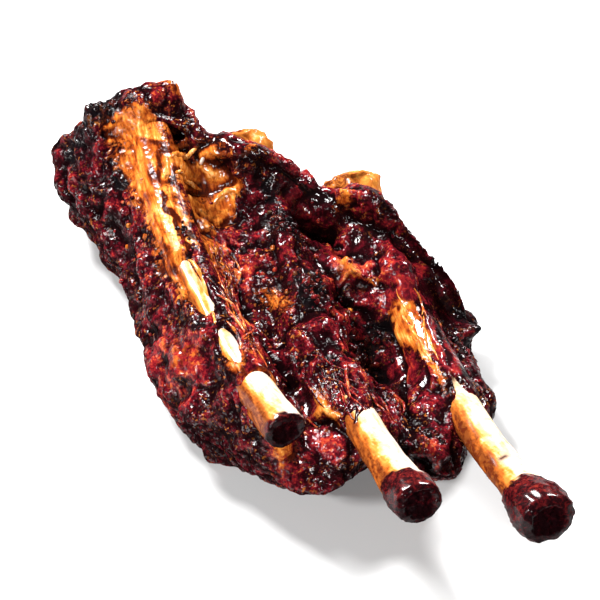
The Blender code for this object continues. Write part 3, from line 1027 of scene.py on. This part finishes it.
def membraneLips():
    parts, values = [], []
    for thick, amber, paleAndLit, points in lips:
        path, radii = [], []
        points = np.array(points, dtype=float)
        for t in np.linspace(0, 1, 28):
            x, y, rise = (alongCurve(points[:, k], np.array([t]))[0] for k in range(3))
            place, slope = onSlab(x, y)
            path.append(np.array(place) + np.array(slope) * (rise * 0.8 - 0.35 * thick) * mm)
            radii.append(thick * mm * (0.25 + 0.75 * math.sin(math.pi * t) ** 0.5))
        path = np.array(path)
        for _ in range(3):
            path[1:-1] = (path[:-2] + 2 * path[1:-1] + path[2:]) / 4
        parts.append(tubeParts(path, radii, 12))
        values.append({"amber": amber, "paleAndLit": paleAndLit, "crevice": 0.30, "wet": 0.5})
    piece = pieceOf("membrane_lips", parts, values)
    coords = coordsOf(piece.data)
    setCoords(piece.data, coords + normalsOf(piece.data) * (roughAt(coords, 0.0022, 2, 83) * 0.35 * mm)[:, None])
    return piece


def sinewSliver():
    # The pale end of sinew that stands out between pocket and rim.
    low, _ = onSlab(-24.0, 45.5)
    high = Vector((-0.0212, 0.0490, low.z + 0.0030))
    path = [low.lerp(high, t) + Vector((0, 0, 0.0009)) * math.sin(math.pi * t) for t in np.linspace(-0.1, 1, 14)]
    radii = [0.62 * mm * (0.75 + 0.25 * math.sin(5 * t)) for t in np.linspace(0, 1, 14)]
    # The sinew is painted as on the lit upper side of a bone.
    return pieceOf("sinew_sliver", [tubeParts([tuple(v) for v in path], radii, 10)],
                   [{"upward": 1.0, "streaked": 0.7}])


dice = np.random.default_rng(11)
smallPieces = [meatThreads(dice), burntCrumbs(dice), membraneLips()]
sinew = sinewSliver()
print("Small pieces laid on:", [len(piece.data.polygons) for piece in smallPieces])


# ---- finishes ----

def newMaterial(name):
    material = bpy.data.materials.new(name)
    material.use_nodes = True
    return material, material.node_tree.nodes, material.node_tree.links


def link(tree, output, target):
    tree.links.new(output, target)


def addNode(tree, kind, **values):
    # A node with its settings.
    node = tree.nodes.new("ShaderNode" + kind)
    for name, value in values.items():
        setattr(node, name, value)
    return node


def attribute(tree, name):
    return addNode(tree, "Attribute", attribute_name=name).outputs["Fac"]


def noiseNode(tree, where, scale, detail=4, roughness=0.6, distortion=0.0):
    node = addNode(tree, "TexNoise")
    tree.links.new(where, node.inputs["Vector"])
    for name, value in (("Scale", scale), ("Detail", detail), ("Roughness", roughness),
                        ("Distortion", distortion)):
        if isinstance(value, bpy.types.NodeSocket):
            tree.links.new(value, node.inputs[name])
        else:
            node.inputs[name].default_value = value
    return node.outputs["Fac"]


def ramp(tree, value, low, high):
    # 0 below low and 1 above high, or the other way where low is the larger.
    node = addNode(tree, "MapRange", interpolation_type="SMOOTHSTEP")
    tree.links.new(value, node.inputs["Value"])
    node.inputs["From Min"].default_value, node.inputs["From Max"].default_value = low, high
    return node.outputs["Result"]


def maths(tree, operation, *values, clamp=False):
    node = addNode(tree, "Math", operation=operation, use_clamp=clamp)
    for socket, value in zip(node.inputs, values):
        if isinstance(value, bpy.types.NodeSocket):
            tree.links.new(value, socket)
        else:
            socket.default_value = value
    return node.outputs[0]


def mixed(tree, share, first, second, blend="MIX"):
    node = addNode(tree, "Mix", data_type="RGBA", blend_type=blend)
    for socket, value in ((node.inputs[0], share), (node.inputs[6], first), (node.inputs[7], second)):
        if isinstance(value, bpy.types.NodeSocket):
            tree.links.new(value, socket)
        elif isinstance(value, (int, float)):
            socket.default_value = value
        else:
            socket.default_value = (*value, 1)
    return node.outputs[2]


def strip(tree, value, *stops):
    # A colour ramp from (place, colour) stops.
    node = addNode(tree, "ValToRGB")
    tree.links.new(value, node.inputs["Fac"])
    elements = node.color_ramp.elements
    for place, colour in stops[2:]:
        elements.new(place)
    for element, (place, colour) in zip(elements, sorted(stops)):
        element.position, element.color = place, (*colour, 1)
    return node.outputs["Color"]


def newGroup(name, inputs, outputs):
    tree = bpy.data.node_groups.new(name, "ShaderNodeTree")
    for kind, kept in (("INPUT", inputs), ("OUTPUT", outputs)):
        for title, value in kept.items():
            socket = tree.interface.new_socket(title, in_out=kind, socket_type="NodeSocketFloat")
            if value is not None:
                socket.default_value = value
    return tree, tree.nodes.new("NodeGroupInput").outputs, tree.nodes.new("NodeGroupOutput").inputs


def useGroup(tree, group, **values):
    node = addNode(tree, "Group")
    node.node_tree = group
    for name, value in values.items():
        node.inputs[name].default_value = value
    return node.outputs


def buildRoastGroup():
    # Patchy roasting: broad patches, finer blotches, small specks and a fine grain.
    tree, given, made = newGroup("roastMottle", {"Patch": 160.0, "Speck": 900.0}, dict.fromkeys(
        ("Patches", "Blotches", "Specks", "Grain", "Ripples", "Crumbs")))
    where = addNode(tree, "TexCoord").outputs["Object"]
    link(tree, ramp(tree, noiseNode(tree, where, given["Patch"], 3, 0.6, 0.6), 0.36, 0.64), made["Patches"])
    blotch = noiseNode(tree, where, maths(tree, "MULTIPLY", given["Patch"], 3.1), 4, 0.65, 0.8)
    link(tree, ramp(tree, blotch, 0.40, 0.62), made["Blotches"])
    speck = noiseNode(tree, where, given["Speck"], 2, 0.5, 0.3)
    link(tree, ramp(tree, speck, 0.52, 0.68), made["Specks"])
    link(tree, noiseNode(tree, where, maths(tree, "MULTIPLY", given["Speck"], 1.3), 3, 0.6, 0.3),
         made["Grain"])
    # Soft ripples of the glaze, about as wide as the specks.
    link(tree, noiseNode(tree, where, maths(tree, "MULTIPLY", given["Speck"], 1.0), 1, 0.4, 0.3),
         made["Ripples"])
    # Crumbs lie scattered where a broad noise lets them.
    crumb = noiseNode(tree, where, maths(tree, "MULTIPLY", given["Speck"], 1.15), 1, 0.5, 0.2)
    strewn = noiseNode(tree, where, maths(tree, "MULTIPLY", given["Patch"], 0.7), 2, 0.6, 0.4)
    link(tree, maths(tree, "MULTIPLY", ramp(tree, crumb, 0.60, 0.68), ramp(tree, strewn, 0.42, 0.60)),
         made["Crumbs"])
    return tree


def buildFibreGroup():
    # Fine strands along the ribs.
    tree, given, made = newGroup("alongTheRibs", {"Fineness": 1400.0}, {"Strands": None})
    place = addNode(tree, "Mapping", vector_type="POINT")
    link(tree, addNode(tree, "TexCoord").outputs["Object"], place.inputs["Vector"])
    place.inputs["Rotation"].default_value = (0, 0, math.radians(-5))
    place.inputs["Scale"].default_value = (1, 0.07, 0.6)
    link(tree, noiseNode(tree, place.outputs[0], given["Fineness"], 3, 0.55, 0.4), made["Strands"])
    return tree


roast = buildRoastGroup()
strandsGroup = buildFibreGroup()

glazeLook = {
    "burnt": (0.0040, 0.0026, 0.0032),
    "sauce": (0.0080, 0.0010, 0.0014),
    "meat": (  # from the hollows, dark partly as painted shade, to the raised, pale and lit parts, partly painted light
        (0.00, (0.0040, 0.0008, 0.0012)),
        (0.30, (0.0140, 0.0012, 0.0022)),
        (0.50, (0.0720, 0.0030, 0.0070)),
        (0.70, (0.2300, 0.0110, 0.0120)),
        (0.86, (0.4700, 0.0680, 0.0240)),
        (1.00, (0.7800, 0.3000, 0.1200)),
    ),
    "fat": (
        (0.00, (0.0400, 0.0050, 0.0018)),
        (0.25, (0.1800, 0.0260, 0.0040)),
        (0.50, (0.4000, 0.0880, 0.0110)),
        (0.75, (0.6400, 0.2100, 0.0300)),
        (1.00, (0.8600, 0.4800, 0.1700)),
    ),
    "crumb": (0.5200, 0.1500, 0.0260),
}


def stickyGlaze():
    material, nodes, links = newMaterial("stickyGlaze")
    tree = material.node_tree
    shader = nodes["Principled BSDF"]
    mottle = useGroup(tree, roast, Patch=150.0, Speck=900.0)
    strands = useGroup(tree, strandsGroup, Fineness=1300.0)["Strands"]
    amber, paleAndLit = attribute(tree, "amber"), attribute(tree, "paleAndLit")
    charred, wet = attribute(tree, "charred"), attribute(tree, "wet")
    crevice, hollow = attribute(tree, "crevice"), attribute(tree, "hollow")
    combed, flank = attribute(tree, "combed"), attribute(tree, "flank")
    raised = ramp(tree, crevice, 0.72, 0.22)
    plain = maths(tree, "MULTIPLY_ADD", wet, -0.8, 1.0)
    grain = maths(tree, "MULTIPLY", ramp(tree, mottle["Grain"], 0.38, 0.64), plain)
    # Dark in the hollows and creases, partly as painted shade and partly as pooled sauce; cherry on top, redder
    # and paler where it is raised, and paler still where it is pale and lit, in part a painted highlight.
    tone = maths(tree, "MULTIPLY_ADD", mottle["Patches"], 0.30, maths(tree, "MULTIPLY", raised, 0.12))
    tone = maths(tree, "MULTIPLY_ADD", mottle["Blotches"], 0.16, tone)
    tone = maths(tree, "MULTIPLY_ADD", grain, 0.20, tone)
    tone = maths(tree, "MULTIPLY_ADD", paleAndLit, 0.42, tone)
    tone = maths(tree, "MULTIPLY_ADD", ramp(tree, hollow, 0.42, 0.85), -0.42, tone, clamp=True)
    # Painted shade: the sides of the slab are darker.
    tone = maths(tree, "MULTIPLY_ADD", flank, -0.10, tone, clamp=True)
    colour = strip(tree, tone, *glazeLook["meat"])
    # Amber skin and fat, streaked along the ribs, breaks up into the glaze round it.
    edge = maths(tree, "MULTIPLY_ADD", mottle["Blotches"], 0.34, maths(tree, "ADD", amber, -0.17))
    edge = maths(tree, "MULTIPLY_ADD", grain, 0.16, maths(tree, "ADD", edge, -0.08))
    fat = ramp(tree, edge, 0.20, 0.58)
    skinTone = maths(tree, "MULTIPLY_ADD", ramp(tree, strands, 0.36, 0.64), 0.28,
                     maths(tree, "MULTIPLY", raised, 0.34))
    skinTone = maths(tree, "MULTIPLY_ADD", mottle["Patches"], 0.22, skinTone)
    skinTone = maths(tree, "MULTIPLY_ADD", ramp(tree, amber, 0.3, 1.0), 0.26, skinTone)
    skinTone = maths(tree, "MULTIPLY_ADD", wet, -0.16, skinTone)
    # Painted shade: the fat is darker in the hollows too.
    skinTone = maths(tree, "MULTIPLY_ADD", ramp(tree, hollow, 0.45, 0.80), -0.50, skinTone, clamp=True)
    colour = mixed(tree, fat, colour, strip(tree, skinTone, *glazeLook["fat"]))
    specks = maths(tree, "MULTIPLY", mottle["Specks"], maths(tree, "MULTIPLY", plain, 0.5))
    colour = mixed(tree, specks, colour, glazeLook["sauce"])
    crumbs = maths(tree, "MULTIPLY", mottle["Crumbs"], maths(tree, "MULTIPLY", raised, 0.70))
    crumbs = maths(tree, "MULTIPLY", crumbs, maths(tree, "MULTIPLY_ADD", flank, -0.6, plain), clamp=True)
    colour = mixed(tree, crumbs, colour, glazeLook["crumb"])
    crust = maths(tree, "MULTIPLY", ramp(tree, charred, 0.20, 0.55),
                  maths(tree, "MULTIPLY_ADD", mottle["Blotches"], -0.20, 1.0))
    colour = mixed(tree, crust, colour, glazeLook["burnt"])
    link(tree, colour, shader.inputs["Base Color"])
    # Thick glaze is smooth and shiny, burnt crust and raised grain are duller.
    rough = maths(tree, "MULTIPLY_ADD", mottle["Grain"], 0.30, 0.30)
    rough = maths(tree, "MULTIPLY_ADD", crust, 0.10, rough)
    rough = maths(tree, "MULTIPLY_ADD", wet, -0.14, rough, clamp=True)
    link(tree, rough, shader.inputs["Roughness"])
    coat = maths(tree, "MULTIPLY_ADD", mottle["Blotches"], 0.17, 0.02)
    coat = maths(tree, "MULTIPLY_ADD", mottle["Specks"], 0.12, coat)
    coat = maths(tree, "MULTIPLY", maths(tree, "MULTIPLY_ADD", raised, 0.7, 0.3), coat)
    coat = maths(tree, "MULTIPLY_ADD", paleAndLit, 0.07, coat)
    film = maths(tree, "MULTIPLY", wet, maths(tree, "MULTIPLY_ADD", amber, 0.22, 0.17))
    coat = maths(tree, "ADD", film, coat)
    coat = maths(tree, "MULTIPLY", maths(tree, "MULTIPLY_ADD", flank, -0.80, 1.0), coat)
    sparks = maths(tree, "MULTIPLY", ramp(tree, mottle["Ripples"], 0.56, 0.63),
                   maths(tree, "MULTIPLY_ADD", flank, -0.08, 0.40))
    coat = maths(tree, "ADD", coat, maths(tree, "MULTIPLY", sparks, raised), clamp=True)
    link(tree, coat, shader.inputs["Coat Weight"])
    shader.inputs["Specular IOR Level"].default_value = 0.0
    shader.inputs["Coat Roughness"].default_value = 0.07
    shader.inputs["Coat IOR"].default_value = 2.0
    # Fine relief that the mesh is too coarse for.
    fine = maths(tree, "MULTIPLY_ADD", mottle["Grain"], 0.5, maths(tree, "MULTIPLY", mottle["Blotches"], 0.5))
    strand = maths(tree, "MULTIPLY", strands, maths(tree, "MULTIPLY_ADD", combed, 0.9, 0.1))
    height = maths(tree, "MULTIPLY_ADD", strand, 1.0, fine)
    height = maths(tree, "MULTIPLY", height, maths(tree, "MULTIPLY_ADD", wet, -0.6, 1.0))
    bump = addNode(tree, "Bump")
    bump.inputs["Strength"].default_value = 0.8
    bump.inputs["Distance"].default_value = 0.35 * mm
    link(tree, height, bump.inputs["Height"])
    link(tree, bump.outputs["Normal"], shader.inputs["Normal"])
    # The glaze lies smoother than the meat below it.
    ripple = maths(tree, "MULTIPLY_ADD", mottle["Ripples"], 0.75, maths(tree, "MULTIPLY", strand, 0.5))
    ripple = maths(tree, "MULTIPLY_ADD", mottle["Grain"], 0.30, ripple)
    ripple = maths(tree, "MULTIPLY", ripple, maths(tree, "MULTIPLY_ADD", wet, -0.7, 1.0))
    film = addNode(tree, "Bump")
    film.inputs["Strength"].default_value = 0.9
    film.inputs["Distance"].default_value = 0.35 * mm
    link(tree, ripple, film.inputs["Height"])
    link(tree, film.outputs["Normal"], shader.inputs["Coat Normal"])
    return material


boneLook = {
    "shaft": (  # from the underside to the top, painted shade to painted light
        (0.00, (0.0900, 0.0140, 0.0040)),
        (0.25, (0.3400, 0.0800, 0.0110)),
        (0.50, (0.5800, 0.2400, 0.0420)),
        (0.72, (0.6700, 0.4700, 0.2900)),
        (1.00, (0.6600, 0.5400, 0.4800)),
    ),
    "stain": (0.4200, 0.1300, 0.0220),
    "nick": (0.0300, 0.0030, 0.0030),
    "cap": (
        (0.00, (0.0060, 0.0014, 0.0020)),
        (0.30, (0.0160, 0.0018, 0.0028)),
        (0.60, (0.0750, 0.0045, 0.0055)),
        (1.00, (0.2600, 0.0280, 0.0140)),
    ),
}


def cookedBone():
    material, nodes, links = newMaterial("cookedBone")
    tree = material.node_tree
    shader = nodes["Principled BSDF"]
    mottle = useGroup(tree, roast, Patch=170.0, Speck=900.0)
    strands = useGroup(tree, strandsGroup, Fineness=900.0)["Strands"]
    capped, marrow, knob = attribute(tree, "capped"), attribute(tree, "marrow"), attribute(tree, "knob")
    upward, streaked = attribute(tree, "upward"), attribute(tree, "streaked")
    # Painted light and shade: ivory along the lit top, amber and brown at the shaded sides and below, streaked
    # lengthwise.
    tone = maths(tree, "MULTIPLY_ADD", ramp(tree, upward, 0.42, 0.98), 0.85, 0.08)
    tone = maths(tree, "MULTIPLY_ADD", streaked, 0.60, maths(tree, "ADD", tone, -0.30))
    tone = maths(tree, "MULTIPLY_ADD", mottle["Patches"], -0.20, maths(tree, "ADD", tone, 0.08))
    tone = maths(tree, "MULTIPLY_ADD", ramp(tree, mottle["Grain"], 0.3, 0.7), -0.10, tone)
    tone = maths(tree, "MULTIPLY_ADD", knob, -0.50, tone, clamp=True)
    colour = strip(tree, tone, *boneLook["shaft"])
    stained = maths(tree, "MULTIPLY_ADD", knob, 0.70, 0.25)
    stained = maths(tree, "MULTIPLY", mottle["Blotches"], stained)
    colour = mixed(tree, stained, colour, boneLook["stain"])
    # Painted light: the burnt caps are lighter on their upper side.
    burntTone = maths(tree, "MULTIPLY_ADD", mottle["Blotches"], 0.35, maths(tree, "MULTIPLY", upward, 0.22))
    burntTone = maths(tree, "MULTIPLY_ADD", ramp(tree, mottle["Grain"], 0.35, 0.65), 0.25, burntTone)
    burntTone = maths(tree, "MULTIPLY_ADD", marrow, -0.35, burntTone, clamp=True)
    burnt = strip(tree, burntTone, *boneLook["cap"])
    colour = mixed(tree, capped, colour, burnt)
    colour = mixed(tree, attribute(tree, "nick"), colour, boneLook["nick"])
    link(tree, colour, shader.inputs["Base Color"])
    rough = maths(tree, "MULTIPLY_ADD", mottle["Grain"], 0.30, 0.18)
    link(tree, maths(tree, "MULTIPLY_ADD", marrow, 0.3, rough, clamp=True), shader.inputs["Roughness"])
    coat = maths(tree, "MULTIPLY_ADD", mottle["Patches"], 0.12, 0.10)
    coat = maths(tree, "MULTIPLY_ADD", capped, 0.08, coat)
    coat = maths(tree, "MULTIPLY_ADD", knob, -0.08, coat)
    link(tree, maths(tree, "MULTIPLY_ADD", marrow, -0.28, coat, clamp=True), shader.inputs["Coat Weight"])
    shader.inputs["Specular IOR Level"].default_value = 0.0
    shader.inputs["Coat Roughness"].default_value = 0.16
    shader.inputs["Coat IOR"].default_value = 2.0
    height = maths(tree, "MULTIPLY_ADD", strands, 0.8, maths(tree, "MULTIPLY", mottle["Grain"], 0.5))
    height = maths(tree, "MULTIPLY_ADD", mottle["Blotches"], maths(tree, "MULTIPLY", capped, 1.5), height)
    bump = addNode(tree, "Bump")
    bump.inputs["Strength"].default_value = 0.6
    bump.inputs["Distance"].default_value = 0.2 * mm
    link(tree, height, bump.inputs["Height"])
    link(tree, bump.outputs["Normal"], shader.inputs["Normal"])
    return material


meatFinish = stickyGlaze()
meat.data.materials.clear()
meat.data.shade_smooth()
for piece in [meat] + smallPieces:
    piece.data.materials.append(meatFinish)
boneFinish = cookedBone()
sinew.data.materials.append(boneFinish)
for name in ("bone_1", "bone_2", "bone_3"):
    bpy.data.objects[name].data.materials.append(boneFinish)
print("Finishes made")


# ---- floor, light and camera ----

studio = {
    "floorSize": 6.0,
    "azimuth": -24.0,
    "elevation": 46.0,
    "roll": 12.0,
    "distance": 0.9,
    "aim": (-0.0063, -0.0019, 0.0235),
    "lens": 194,
}

bpy.ops.object.select_all(action="DESELECT")
bpy.ops.mesh.primitive_plane_add(size=studio["floorSize"])
floor = bpy.context.active_object
floor.name = "floor"
material, nodes, links = newMaterial("paleFloor")
nodes["Principled BSDF"].inputs["Base Color"].default_value = (0.66, 0.66, 0.66, 1)
nodes["Principled BSDF"].inputs["Roughness"].default_value = 0.9
floor.data.materials.append(material)


def addLamp(name, place, aim, size, watts, colour=(1, 1, 1)):
    lamp = bpy.data.lights.new(name, "AREA")
    lamp.shape = "DISK"
    lamp.size = size
    lamp.energy = watts
    lamp.color = colour
    holder = bpy.data.objects.new(name, lamp)
    bpy.context.scene.collection.objects.link(holder)
    holder.location = place
    away = Vector(place) - Vector(aim)
    holder.rotation_euler = away.to_track_quat("Z", "Y").to_euler()


addLamp("key", (-0.42, 0.58, 0.74), (0, 0, 0), 0.30, 25)
addLamp("rim", (0.60, 0.50, 0.62), (0, 0, 0), 0.24, 16)
addLamp("side", (-0.75, -0.35, 0.60), (0, 0, 0), 0.15, 7.5)
addLamp("front", (-0.30, -0.80, 0.58), (0, 0, 0), 0.14, 4.5)

world = bpy.data.worlds.new("studio")
world.use_nodes = True
world.node_tree.nodes["Background"].inputs["Color"].default_value = (1, 1, 1, 1)
world.node_tree.nodes["Background"].inputs["Strength"].default_value = 0.09
bpy.context.scene.world = world
bpy.context.scene.view_settings.view_transform = "Standard"

azimuth, elevation, roll = (math.radians(studio[k]) for k in ("azimuth", "elevation", "roll"))
right = Vector((math.cos(azimuth), math.sin(azimuth), 0))
back = Vector((math.sin(azimuth) * math.cos(elevation), -math.cos(azimuth) * math.cos(elevation),
               math.sin(elevation)))
above = back.cross(right)
turnedRight = right * math.cos(roll) + above * math.sin(roll)
turnedAbove = -right * math.sin(roll) + above * math.cos(roll)
cameraData = bpy.data.cameras.new("camera")
cameraData.lens = studio["lens"]
camera = bpy.data.objects.new("camera", cameraData)
bpy.context.scene.collection.objects.link(camera)
camera.matrix_world = Matrix.Translation(Vector(studio["aim"]) + back * studio["distance"]) @ Matrix(
    (turnedRight, turnedAbove, back)).transposed().to_4x4()
bpy.context.scene.camera = camera
print("Studio ready")
